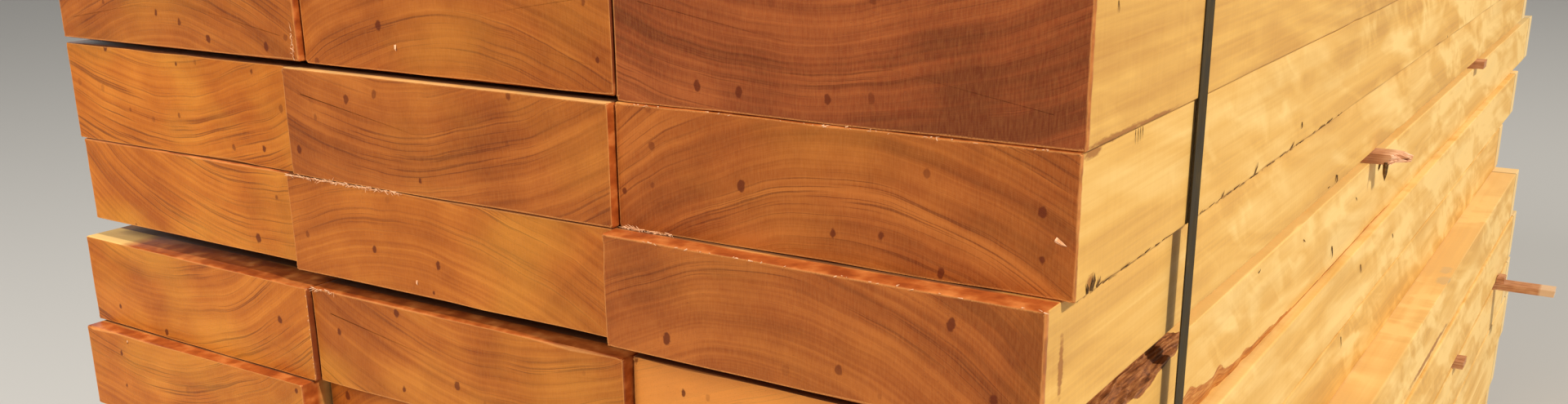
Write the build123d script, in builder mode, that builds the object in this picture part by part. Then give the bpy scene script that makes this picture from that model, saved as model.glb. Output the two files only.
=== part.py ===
"""Two strapped bundles of thick rough-sawn hardwood planks, three wide and six high each.

The upper bundle stands a little to the left on the lower one, which leaves a narrow ledge.
Frame: X across the stack with its lit long side at +X, Y along the planks with the near
ends at -Y, Z up. The origin lies on the underside, below the middle of the lower planks.
Millimetres throughout. Rows are numbered from the top, as they are read on the near end.
"""
import os
from dataclasses import dataclass

from build123d import *

# Plank stock: the nominal board of each column, and the worn arrises of all of them
RIGHT_WIDTH = 284.0
MIDDLE_WIDTH = 284.0
LEFT_WIDTH = 264.0
ROW_THICKNESS = 74.0
UPPER_LENGTH = 2050.0
LOWER_LENGTH = 1900.0
FAR_END_STEP = 10.0
ARRIS_WEAR = 1.2
SIDE_CLEARANCE = 0.5

# The upper bundle stands this far to the left of the lower one
UPPER_SHIFT = 36.0

# Laths that hold a gap open in each bundle, and the offcut that stands on the long one
LATH_THICKNESS = 10.0
LATH_WIDTH = 30.0
LATH_INSET = 25.0
LATH_REACH = 14.0
SPLIT_LATH_REACH = 28.0
SHORT_LATH_REACH = 5.0
LONG_LATH_REACH = 84.0
FIRST_UPPER_LATH = 799.0
UPPER_LATH_PITCH = 688.0
FIRST_LOWER_LATH = 106.0
LOWER_LATH_PITCH = 398.0
OFFCUT_WIDTH = 11.0
OFFCUT_LENGTH = 24.0
OFFCUT_HEIGHT = 9.5

# Slips that lift planks thinner than their row
SLIP_WIDTH = 34.0
SLIP_INSET = 12.0

# Steel strapping and its crimped seals
STRAP_WIDTH = 16.0
STRAP_THICKNESS = 0.8
UPPER_STRAP_PLACE = 180.0
LOWER_STRAP_PLACE = 236.0
SEAL_LENGTH = 46.0
SEAL_WALL = 1.1
CRIMP_PITCH = 15.0
CRIMP_LENGTH = 4.0
CRIMP_DEPTH = 0.8

# A wane runs out to this share of its widest section
WANE_RUNOUT = 0.08

# Places that follow from the sizes above
RIGHT_FACE = (RIGHT_WIDTH + MIDDLE_WIDTH + LEFT_WIDTH) / 2 + SIDE_CLEARANCE
NEAR_END = -LOWER_LENGTH / 2
NOMINAL_WIDTHS = {"right": RIGHT_WIDTH, "middle": MIDDLE_WIDTH, "left": LEFT_WIDTH}


@dataclass
class Wane:
    """A missing upper corner where the log's bark ran out, widest at one place along the plank."""

    start: float
    widest: float
    end: float
    across: float
    down: float


@dataclass
class Plank:
    """How one sawn plank differs from the nominal board of its column and row."""

    wider: float = 0.0
    longer: float = 0.0
    proud: float = 0.0
    skew: float = 0.0
    thinner: float = 0.0
    wane: Wane = None


@dataclass
class Lath:
    """A lath across the stack: its distance from the near ends, and how far it stands out."""

    place: float
    reach: float = LATH_REACH


@dataclass
class Row:
    """Three planks side by side, how far their right side stands out, and the laths below."""

    right: Plank
    middle: Plank
    left: Plank
    thicker: float = 0.0
    far_steps: float = 0.0
    face: float = 0.0
    laths: tuple = ()

    def planks(self):
        return {"right": self.right, "middle": self.middle, "left": self.left}


BARK_FRONT = Wane(start=-380.0, widest=130.0, end=222.0, across=25.0, down=14.0)
BARK_LONG = Wane(start=-500.0, widest=190.0, end=600.0, across=15.0, down=17.0)

UPPER_LATHS = (Lath(FIRST_UPPER_LATH, reach=SPLIT_LATH_REACH),
               Lath(FIRST_UPPER_LATH + UPPER_LATH_PITCH, reach=SHORT_LATH_REACH))
LOWER_LATHS = (Lath(FIRST_LOWER_LATH), Lath(FIRST_LOWER_LATH + LOWER_LATH_PITCH),
               Lath(FIRST_LOWER_LATH + 2 * LOWER_LATH_PITCH),
               Lath(FIRST_LOWER_LATH + 3 * LOWER_LATH_PITCH),
               Lath(FIRST_LOWER_LATH + 4 * LOWER_LATH_PITCH, reach=LONG_LATH_REACH))

ROWS = {
    1: Row(right=Plank(wider=1.0, skew=1.0), middle=Plank(wider=-16.0, thinner=3.0, longer=-12.0),
           left=Plank(wider=11.0, proud=4.5, thinner=4.5, longer=9.0), thicker=1.0, face=2.0),
    2: Row(right=Plank(longer=-10.0), middle=Plank(wider=3.0, proud=5.5, longer=-8.0),
           left=Plank(wider=-5.0, skew=-2.0), thicker=1.0),
    3: Row(right=Plank(wider=-6.0, proud=18.0, longer=-5.0, skew=2.0),
           middle=Plank(wider=9.0, proud=4.5, skew=-1.5),
           left=Plank(wider=-18.0, proud=3.0, thinner=4.5, longer=14.0),
           thicker=-4.0, face=-7.0, laths=UPPER_LATHS),
    4: Row(right=Plank(wider=-12.0, wane=BARK_FRONT), middle=Plank(wider=-1.0, proud=8.0, longer=-45.0),
           left=Plank(wider=8.0, proud=12.0, skew=3.0, longer=-20.0),
           thicker=-3.0, face=-7.0, far_steps=13),
    5: Row(right=Plank(wider=-3.0, proud=3.0, wane=BARK_LONG),
           middle=Plank(wider=2.0, proud=-2.0, longer=18.0),
           left=Plank(wider=-2.0, proud=22.0, skew=-2.0, longer=-15.0),
           thicker=-6.0, face=1.0, far_steps=-6),
    6: Row(right=Plank(wider=2.0, proud=7.0), middle=Plank(wider=-4.0, proud=2.0, longer=-30.0),
           left=Plank(wider=4.0, proud=4.0, longer=-22.0), thicker=-8.0, face=2.0, far_steps=-19),
    7: Row(right=Plank(wider=-5.0, proud=-2.0), middle=Plank(longer=-22.0),
           left=Plank(wider=2.0, proud=9.0, longer=-14.0), far_steps=-6),
    8: Row(right=Plank(wider=3.0, proud=5.0), middle=Plank(wider=-6.0, longer=-30.0),
           left=Plank(longer=10.0), face=3.0, far_steps=-3, laths=LOWER_LATHS),
    9: Row(right=Plank(wider=-2.0, longer=-5.0), middle=Plank(wider=1.0, proud=4.0, longer=-20.0),
           left=Plank(wider=-2.0, longer=-18.0), face=2.0),
    10: Row(right=Plank(proud=3.0), middle=Plank(wider=2.0, longer=-25.0),
            left=Plank(wider=-1.0, proud=2.0, longer=-12.0), face=3.0, far_steps=5),
    11: Row(right=Plank(wider=2.0, proud=-3.0, longer=4.0), middle=Plank(wider=-3.0, proud=5.0),
            left=Plank(wider=3.0, longer=16.0), face=2.0, far_steps=1),
    12: Row(right=Plank(wider=1.0, longer=-8.0), middle=Plank(wider=-1.0),
            left=Plank(longer=6.0), face=0.5),
}
UPPER_ROWS = range(1, 7)
LOWER_ROWS = range(7, 13)

# Straps that press into the underside of a bundle's last row
GROOVES = {UPPER_ROWS[-1]: (UPPER_STRAP_PLACE, LOWER_STRAP_PLACE), LOWER_ROWS[-1]: (LOWER_STRAP_PLACE,)}


def thickness(row):
    return ROW_THICKNESS + row.thicker


def gap_below(row):
    """Height of the gap that a row's laths hold open."""
    return LATH_THICKNESS if row.laths else 0.0


def row_floor(number):
    """Height of the underside of a row: all the rows and gaps beneath it, from the ground."""
    rows = sum(thickness(ROWS[n]) for n in ROWS if n > number)
    gaps = sum(gap_below(ROWS[n]) for n in ROWS if n >= number)
    return rows + gaps


def row_top(number):
    return row_floor(number) + thickness(ROWS[number])


def bundle_face(number):
    """X of the right-hand side that a row's bundle nominally has."""
    return RIGHT_FACE - (UPPER_SHIFT if number in UPPER_ROWS else 0.0)


def plank_sides(number, column):
    """X of the left and right sides of a plank; the planks of a row stand side by side."""
    right = bundle_face(number) + ROWS[number].face
    for name, plank in ROWS[number].planks().items():
        left = right - NOMINAL_WIDTHS[name] - plank.wider
        if name == column:
            return left, right
        right = left - SIDE_CLEARANCE


def row_length(number):
    """Length of a row's nominal board; the far ends of the rows step in and out."""
    length = UPPER_LENGTH if number in UPPER_ROWS else LOWER_LENGTH
    return length + ROWS[number].far_steps * FAR_END_STEP


def along(distance):
    """Y at a distance from the plane of the near ends."""
    return NEAR_END + distance


def cut_wane(wane, top, right):
    """Cut the missing corner as a wedge that swells and runs out along the right-hand side."""
    sections = []
    for place, share in ((wane.start, WANE_RUNOUT), (wane.widest, 1.0), (wane.end, WANE_RUNOUT)):
        across, down = wane.across * share, wane.down * share
        plane = Plane((right, along(place), top), x_dir=(1, 0, 0), z_dir=(0, -1, 0))
        with BuildSketch(plane) as corner:
            with BuildLine():
                Polyline((-2 * across, down), (across, -2 * down), (across, down), close=True)
            make_face()
        sections.append(corner.sketch)
    loft(sections=sections, ruled=True, mode=Mode.SUBTRACT)


def build_plank(number, column):
    """A plank with slightly out-of-square ends, worn arrises and its own wane."""
    row = ROWS[number]
    plank = row.planks()[column]
    left, right = plank_sides(number, column)
    top = row_top(number)
    floor = row_floor(number) + plank.thinner
    near = along(-plank.proud)
    far = along(row_length(number) + plank.longer)
    with BuildPart() as board:
        with BuildSketch(Plane.XY.offset(floor)):
            with BuildLine():
                Polyline((left, near + plank.skew), (right, near), (right, far),
                         (left, far - plank.skew), close=True)
            make_face()
        extrude(amount=top - floor)
        chamfer(board.edges().filter_by(Axis.Y), length=ARRIS_WEAR)
        if plank.wane:
            cut_wane(plank.wane, top, right)
        for place in GROOVES.get(number, ()):
            with Locations(((left + right) / 2, along(place), floor + STRAP_THICKNESS / 2)):
                Box(right - left, STRAP_WIDTH, STRAP_THICKNESS, mode=Mode.SUBTRACT)
    return board


def build_bars(places, width, sides, heights):
    """Laths or slips of one size across the stack, one at each distance from the near ends."""
    (left, right), (floor, top) = sides, heights
    with BuildPart() as bars:
        for place in places:
            with Locations(((left + right) / 2, along(place), (floor + top) / 2)):
                Box(right - left, width, top - floor)
    return bars


def build_offcut(number, lath):
    """A short end of lath that stands on the long lath, against the side of the stack."""
    side = plank_sides(number, "right")[1] + SIDE_CLEARANCE
    height = row_floor(number) + OFFCUT_HEIGHT / 2
    with BuildPart() as offcut:
        with Locations((side + OFFCUT_WIDTH / 2, along(lath.place), height)):
            Box(OFFCUT_WIDTH, OFFCUT_LENGTH, OFFCUT_HEIGHT)
        chamfer(offcut.faces().sort_by(Axis.Z)[-1].edges(), length=ARRIS_WEAR)
    return offcut


def strap_corners(rows):
    """Corners of all the rows that a strap passes; a groove takes it in under the last one."""
    corners = []
    for number in rows:
        floor = row_floor(number) + (STRAP_THICKNESS if number == rows[-1] else 0.0)
        left = plank_sides(number, "left")[0]
        right = plank_sides(number, "right")[1]
        corners += [(x, z) for x in (left, right) for z in (floor, row_top(number))]
    return corners


def build_strap(rows, place):
    """A flat steel band drawn tight round a bundle: the hull of its plank corners."""
    plane = Plane((0, along(place) + STRAP_WIDTH / 2, 0), x_dir=(1, 0, 0), z_dir=(0, -1, 0))
    with BuildPart() as strap:
        with BuildSketch(plane) as loop:
            with BuildLine():
                Polyline(*strap_corners(rows))
            make_hull()
            inside = loop.sketch_local.faces()[0]
            offset(amount=STRAP_THICKNESS)
            add(inside, mode=Mode.SUBTRACT)
        extrude(amount=STRAP_WIDTH)
    return strap


def build_seal():
    """A sleeve folded over the strap, with two crimps in each side, lying flat at the origin."""
    height = STRAP_THICKNESS + SEAL_WALL
    width = STRAP_WIDTH + 2 * SEAL_WALL
    with BuildPart() as seal:
        with Locations((0, 0, height / 2)):
            Box(SEAL_LENGTH, width, height)
        chamfer(seal.faces().sort_by(Axis.Z)[-1].edges().filter_by(Axis.X), length=SEAL_WALL / 2)
        with Locations((0, 0, STRAP_THICKNESS / 2)):
            Box(SEAL_LENGTH, STRAP_WIDTH, STRAP_THICKNESS, mode=Mode.SUBTRACT)
        with Locations((0, 0, height / 2)):
            with GridLocations(CRIMP_PITCH, width, 2, 2):
                Box(CRIMP_LENGTH, 2 * CRIMP_DEPTH, height, mode=Mode.SUBTRACT)
    return seal


def save(piece, name, place=Location()):
    """Move a finished piece to its place, label it and write it."""
    solid = piece.part.moved(place)
    solid.label = name
    export_step(solid, f"parts/{name}.step")


os.makedirs("parts", exist_ok=True)

# Each row: its planks, the laths below them, and the slips that lift its thinner planks
for number, row in ROWS.items():
    floor = row_floor(number)
    for column, plank in row.planks().items():
        save(build_plank(number, column), f"plank_{number:02d}_{column}")
        if plank.thinner:
            left, right = plank_sides(number, column)
            places = [lath.place for lath in UPPER_LATHS]
            slips = build_bars(places, SLIP_WIDTH, (left + SLIP_INSET, right - SLIP_INSET),
                               (floor, floor + plank.thinner))
            save(slips, f"slips_{number:02d}_{column}")
    for count, lath in enumerate(row.laths, start=1):
        face = bundle_face(number)
        sides = (face - 2 * RIGHT_FACE + LATH_INSET, face + lath.reach)
        bar = build_bars([lath.place], LATH_WIDTH, sides, (floor - LATH_THICKNESS, floor))
        save(bar, f"lath_{number:02d}_{count}")
        if lath.reach == LONG_LATH_REACH:
            save(build_offcut(number, lath), "lath_offcut")

# A strap for each bundle: one seal on top of the stack, the other on the lower bundle's side
save(build_strap(UPPER_ROWS, UPPER_STRAP_PLACE), "strap_upper")
save(build_strap(LOWER_ROWS, LOWER_STRAP_PLACE), "strap_lower")
save(build_seal(), "seal_upper", Location((0, along(UPPER_STRAP_PLACE), row_top(UPPER_ROWS[0]))))
SEAL_ROW = 10
side = plank_sides(SEAL_ROW, "right")[1]
middle = row_floor(SEAL_ROW) + thickness(ROWS[SEAL_ROW]) / 2
save(build_seal(), "seal_lower", Location((side, along(LOWER_STRAP_PLACE), middle), (0, 90, 0)))
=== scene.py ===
"""Two strapped bundles of thick sawn hardwood planks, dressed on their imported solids.

Metres throughout. The near ends of the planks face -Y and the lit long side faces +X.
"""
import math

import bpy
import numpy as np
from mathutils import Matrix, Vector


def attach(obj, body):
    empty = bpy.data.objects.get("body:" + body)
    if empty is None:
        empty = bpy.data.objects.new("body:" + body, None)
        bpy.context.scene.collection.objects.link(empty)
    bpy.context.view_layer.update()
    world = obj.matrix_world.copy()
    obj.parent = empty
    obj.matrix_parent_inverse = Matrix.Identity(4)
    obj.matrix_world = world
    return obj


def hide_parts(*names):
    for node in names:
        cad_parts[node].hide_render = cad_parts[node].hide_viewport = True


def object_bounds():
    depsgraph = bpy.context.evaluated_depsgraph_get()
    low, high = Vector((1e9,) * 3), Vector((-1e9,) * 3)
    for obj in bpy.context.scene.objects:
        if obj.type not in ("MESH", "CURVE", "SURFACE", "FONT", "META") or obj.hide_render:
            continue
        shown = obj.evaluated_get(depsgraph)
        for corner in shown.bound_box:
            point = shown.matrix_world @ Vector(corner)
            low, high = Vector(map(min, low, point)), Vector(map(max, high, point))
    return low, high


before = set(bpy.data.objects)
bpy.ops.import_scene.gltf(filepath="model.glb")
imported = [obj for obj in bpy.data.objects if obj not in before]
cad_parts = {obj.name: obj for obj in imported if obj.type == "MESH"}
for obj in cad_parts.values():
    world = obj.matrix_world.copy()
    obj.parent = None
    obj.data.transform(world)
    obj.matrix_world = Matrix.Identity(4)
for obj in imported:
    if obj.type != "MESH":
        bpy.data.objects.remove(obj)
cad_box = [list(map(float, corner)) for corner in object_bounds()]

# Standpoint: a little above the top of the stack, off its near right corner, looking down
# along the long side, so that the near ends fill the left and the side runs away.
EYE = Vector((0.6126, -1.56905, 0.9522))
TURN, DIP, ROLL = math.radians(-32.91), math.radians(17.39), math.radians(0.59)
ahead = Vector((math.sin(TURN) * math.cos(DIP), math.cos(TURN) * math.cos(DIP), -math.sin(DIP)))
level = Vector((math.cos(TURN), -math.sin(TURN), 0))
below = ahead.cross(level)
rightward = math.cos(ROLL) * level + math.sin(ROLL) * below
downward = math.cos(ROLL) * below - math.sin(ROLL) * level
lens = bpy.data.cameras.new("standpoint")
lens.sensor_width = 36.0
lens.lens = 32.06
lens.shift_y = 0.0534
lens.clip_start = 0.01
standpoint = bpy.data.objects.new("standpoint", lens)
bpy.context.scene.collection.objects.link(standpoint)
standpoint.matrix_world = Matrix((
    (rightward.x, -downward.x, -ahead.x, EYE.x),
    (rightward.y, -downward.y, -ahead.y, EYE.y),
    (rightward.z, -downward.z, -ahead.z, EYE.z),
    (0, 0, 0, 1)))
bpy.context.scene.camera = standpoint
bpy.context.scene.view_settings.view_transform = "Standard"


# Floor and light: one pale level floor, a high lamp that strikes the long side and the top, a
# broad one before the near ends, and a faint surround that leaves the gaps dark.
class Look:
    """A node material that is put together step by step."""

    def __init__(self, name):
        self.material = bpy.data.materials.new(name)
        self.material.use_nodes = True
        self.material.node_tree.nodes.clear()
        self.surface = self.wire("OutputMaterial").inputs["Surface"]

    def wire(self, kind, inputs=None, **settings):
        """Adds one node: its settings, then its inputs as values or as other nodes' outputs."""
        made = self.material.node_tree.nodes.new("ShaderNode" + kind)
        for key, value in settings.items():
            setattr(made, key, value)
        for key, value in (inputs or {}).items():
            if isinstance(value, bpy.types.NodeSocket):
                self.material.node_tree.links.new(value, made.inputs[key])
            else:
                made.inputs[key].default_value = value
        return made

    def finish(self, **inputs):
        """Closes the material with one principled surface."""
        names = {key.replace("_", " "): value for key, value in inputs.items()}
        shell = self.wire("BsdfPrincipled", names)
        self.material.node_tree.links.new(shell.outputs[0], self.surface)
        return self.material


FLOOR_COLOUR = (0.64, 0.63, 0.61, 1)
FLOOR_HALF = 30.0
floor_mesh = bpy.data.meshes.new("floor")
floor_mesh.from_pydata([(-FLOOR_HALF, -FLOOR_HALF, 0), (FLOOR_HALF, -FLOOR_HALF, 0),
                        (FLOOR_HALF, FLOOR_HALF, 0), (-FLOOR_HALF, FLOOR_HALF, 0)], [], [(0, 1, 2, 3)])
floor = bpy.data.objects.new("floor", floor_mesh)
bpy.context.scene.collection.objects.link(floor)
floor_mesh.materials.append(Look("floor_pale").finish(Base_Color=FLOOR_COLOUR, Roughness=0.9))

SURROUND = (1.0, 0.98, 0.95, 1)
SURROUND_LEVEL = 0.20  # as a light on the boards
SEEN_LEVEL = 0.80  # as seen directly or in gloss
world = bpy.data.worlds.new("surround")
bpy.context.scene.world = world
world.use_nodes = True
backdrop = world.node_tree.nodes["Background"]
backdrop.inputs["Color"].default_value = SURROUND
rays = world.node_tree.nodes.new("ShaderNodeLightPath").outputs
seen = rays["Is Camera Ray"]
for kind in ("Is Glossy Ray", "Is Transmission Ray"):
    either = world.node_tree.nodes.new("ShaderNodeMath")
    either.operation = "MAXIMUM"
    world.node_tree.links.new(seen, either.inputs[0])
    world.node_tree.links.new(rays[kind], either.inputs[1])
    seen = either.outputs[0]
level_of = world.node_tree.nodes.new("ShaderNodeMath")
level_of.operation = "MULTIPLY_ADD"
level_of.inputs[1].default_value = SEEN_LEVEL - SURROUND_LEVEL
level_of.inputs[2].default_value = SURROUND_LEVEL
world.node_tree.links.new(seen, level_of.inputs[0])
world.node_tree.links.new(level_of.outputs[0], backdrop.inputs["Strength"])


def soft_lamp(name, place, aim, size, watts, colour):
    """A square lamp at a place, turned so that its face looks at the aim."""
    lamp = bpy.data.lights.new(name, "AREA")
    lamp.size = size
    lamp.energy = watts
    lamp.color = colour
    holder = bpy.data.objects.new(name, lamp)
    bpy.context.scene.collection.objects.link(holder)
    holder.location = place
    holder.rotation_euler = (Vector(aim) - Vector(place)).to_track_quat("-Z", "Y").to_euler()


soft_lamp("lamp_side", (8.3, -2.3, 8.6), (0.3, 0.0, 0.6), 0.6, 1210, (1.0, 0.94, 0.84))
soft_lamp("lamp_front", (-1.4, -4.6, 3.7), (0, -0.9, 0.6), 2.6, 195, (1.0, 0.97, 0.93))


# Planks: thick boards of one reddish hardwood, sawn on all four sides and cross-cut square.
# Their ends are sealed with thin wax, which laps a little over the faces and shows the growth
# rings. Arrises are worn, and one right-hand board still carries the log's bark at two edges.
def wander(places, step, seed):
    """Smooth random drift from -1 to 1: a random height each step, joined by eased curves."""
    heights = np.random.default_rng(seed).uniform(-1, 1, 997)
    spots = np.asarray(places) / step + 331
    whole = np.floor(spots).astype(int)
    part = spots - whole
    part = part * part * (3 - 2 * part)
    return heights[whole % 997] * (1 - part) + heights[(whole + 1) % 997] * part


def relief(u, v, seed):
    """Smooth random relief from -1 to 1 over a plane: random heights at whole u and v, eased."""
    heights = np.random.default_rng(seed).uniform(-1, 1, (127, 127))
    u, v = np.asarray(u) + 40, np.asarray(v) + 40
    a, b = np.floor(u).astype(int), np.floor(v).astype(int)
    s, t = u - a, v - b
    s, t = s * s * (3 - 2 * s), t * t * (3 - 2 * t)
    near = heights[a % 127, b % 127] * (1 - s) + heights[(a + 1) % 127, b % 127] * s
    far = heights[a % 127, (b + 1) % 127] * (1 - s) + heights[(a + 1) % 127, (b + 1) % 127] * s
    return near * (1 - t) + far * t


def skin(name, rings, material, facts, flat_rings=0):
    """Closed surface over rings of points, one after another, with a middle point at each end.

    The rings run anticlockwise seen from the first end, so that every face looks outwards.
    The end faces and the first and last flat rings are shaded flat, the walls smooth.
    """
    count, around = rings.shape[:2]
    points = np.concatenate([rings.reshape(-1, 3), rings[0].mean(0)[None], rings[-1].mean(0)[None]])
    here = np.arange(count - 1)[:, None] * around + np.arange(around)
    on = np.arange(count - 1)[:, None] * around + (np.arange(around) + 1) % around
    walls = np.stack([here, here + around, on + around, on], -1).reshape(-1, 4)
    loop, turn = np.arange(around), (np.arange(around) + 1) % around
    first, last = count * around, count * around + 1
    back = (count - 1) * around
    near = np.stack([np.full(around, first), loop, turn], -1)
    far = np.stack([np.full(around, last), back + turn, back + loop], -1)
    mesh = bpy.data.meshes.new(name)
    mesh.from_pydata(points.tolist(), [], walls.tolist() + near.tolist() + far.tolist())
    for key, value in facts.items():
        value = np.concatenate([value.reshape(-1, 3), value[0].mean(0)[None], value[-1].mean(0)[None]])
        layer = mesh.attributes.new(key, "FLOAT_VECTOR", "POINT")
        layer.data.foreach_set("vector", value.astype(np.float32).ravel())
    smooth = np.ones((count - 1, around), bool)
    smooth[:flat_rings] = False
    smooth[count - 1 - flat_rings:] = False
    smooth = np.concatenate([smooth.ravel(), np.zeros(2 * around, bool)])
    mesh.polygons.foreach_set("use_smooth", smooth)
    mesh.set_sharp_from_angle(angle=math.radians(32))
    piece = bpy.data.objects.new(name, mesh)
    bpy.context.scene.collection.objects.link(piece)
    mesh.materials.append(material)
    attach(piece, "root")
    return piece


def solid_points(name):
    """The corner points of a node's solid."""
    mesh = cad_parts[name].data
    spots = np.empty(len(mesh.vertices) * 3)
    mesh.vertices.foreach_get("co", spots)
    return spots.reshape(-1, 3)


SIDE_REACH = 0.003  # a solid's point this close to a side face belongs to that side


def end_face(name, x, pick=np.min):
    """Y of a plank's near end at an x, on a straight line between its two sides' ends, or of its
    far end with pick=np.max."""
    spots = solid_points(name)
    left, right = spots[:, 0].min(), spots[:, 0].max()
    ends = [pick(spots[abs(spots[:, 0] - side) < SIDE_REACH, 1]) for side in (left, right)]
    return np.interp(x, (left, right), ends)


def edge_spots(length, wear, step):
    """Distances along one edge of a section: close together near both corners, then even."""
    middle = np.linspace(wear[-1], length - wear[-1], max(2, int(length / step)))
    return np.unique(np.concatenate([wear, middle, length - wear]))


BARK_SPACING = 0.0013
BARK_POINTS = 21


def outline(width, height, wear, steps, bark=False):
    """Points round a rectangle, anticlockwise from its bottom left corner: close together near
    the corners, then a step apart. bark adds close points near both right-hand corners."""
    across, up = edge_spots(width, wear, steps[0])[:-1], edge_spots(height, wear, steps[1])[:-1]
    top = width - across
    rise, fall = up, height - up
    if bark:
        fine = np.arange(1, BARK_POINTS + 1) * BARK_SPACING
        across = np.unique(np.concatenate([across, width - fine[:5]]))
        top = np.sort(np.unique(np.concatenate([top, width - fine])))[::-1]
        rise = np.unique(np.concatenate([rise, fine, height - fine]))
    x = np.concatenate([across, np.full(rise.size, width), top, np.zeros(fall.size)])
    z = np.concatenate([np.zeros(across.size), rise, np.full(top.size, height), fall])
    return x, z


WEAR = np.array([0, 0.0004, 0.0009, 0.0016, 0.0028, 0.005])  # points' distances from a corner
END_STEPS = np.array([0, 0.0005, 0.0013, 0.003, 0.007, 0.013])  # sections' distances from an end
NEAR_PLANE = -0.950  # y at which the middle of the log lies where LOGS says
END_INSETS = (0.016, 0.0035, 0.0009)  # rings drawn on the end faces, in from their edges
SECTION_STEPS = (0.03, 0.016)  # between the points across and up a section
RUN_MARGIN, RUN_STEP = 0.022, 0.024  # between the sections along a board
BARK_STEP = 0.0035  # between the sections along its bark
ROUNDING, ROUNDING_DRIFT = 0.0012, 0.0007  # radius of a worn arris
CHIP_SIZE, CHIP_RARITY = 0.012, 0.74  # a chip where the drift is over the rarity
# How far the light gets in on top of a board, past the near end of the board above it. Above
# row 4 and row 9 there are open gaps.
LIT_DEPTHS = {"02_right": 0.0015, "03_right": -0.0015,
              "04_right": 0.010, "04_middle": 0.014, "04_left": 0.024,
              "09_right": 0.010, "09_middle": 0.010, "09_left": 0.010}


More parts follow.
